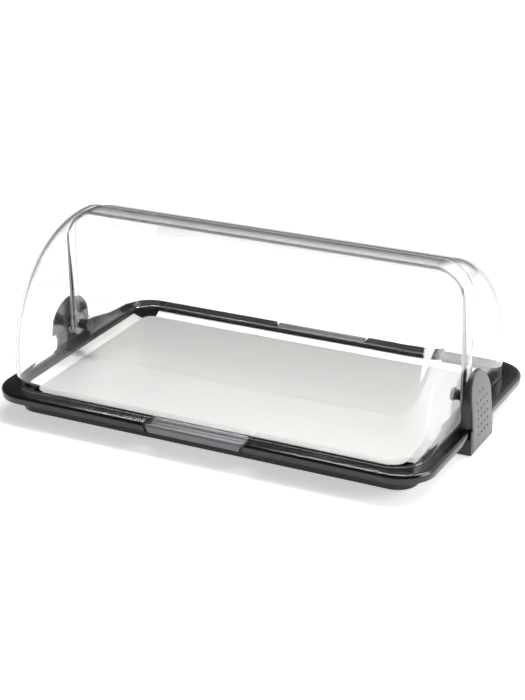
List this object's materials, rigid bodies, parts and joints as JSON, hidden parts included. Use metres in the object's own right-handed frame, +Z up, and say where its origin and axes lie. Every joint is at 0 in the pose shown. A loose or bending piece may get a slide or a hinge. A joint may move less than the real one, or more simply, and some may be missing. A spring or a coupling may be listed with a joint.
{
  "type": "roll-top display case",
  "caption": "Table-top food display case: black base with a steel tray under clear quarter-barrel shells that roll open on side pins.",
  "frame": {"origin": "middle of the case, on the surface that its feet stand on", "axes": "+X to the right along the case, +Y from the front to the back, +Z up"},
  "size_m": [0.567, 0.35, 0.2175],
  "materials": {
    "black_base": "glossy moulded black",
    "steel": "fine brushed, satin",
    "clear_shell": "clear, polished",
    "grey_trim": "satin grey",
    "black_pin": "satin black",
    "washer": "natural nylon",
    "foot_rubber": "matt black rubber"
  },
  "bodies": {
    "base": {"base_tray": "black_base", "steel_tray": "steel", "left_ear": "grey_trim", "right_ear": "grey_trim", "left_pin": "black_pin", "right_pin": "black_pin", "left_outer_washer": "washer", "right_outer_washer": "washer", "left_inner_washer": "washer", "right_inner_washer": "washer", "front_grip": "grey_trim", "rear_grip": "grey_trim", "foot_1": "foot_rubber", "foot_2": "foot_rubber", "foot_3": "foot_rubber", "foot_4": "foot_rubber"},
    "front_hood": {"front_shell": "clear_shell"},
    "rear_hood": {"rear_shell": "clear_shell"}
  },
  "joints": [
    {"name": "front_hood_hinge", "type": "hinge", "parent": "base", "child": "front_hood", "pos_m": [0, 0, 0.057], "axis": [-1, 0, 0], "range_deg": [0, 90]},
    {"name": "rear_hood_hinge", "type": "hinge", "parent": "base", "child": "rear_hood", "pos_m": [0, 0, 0.057], "axis": [1, 0, 0], "range_deg": [0, 90]}
  ]
}
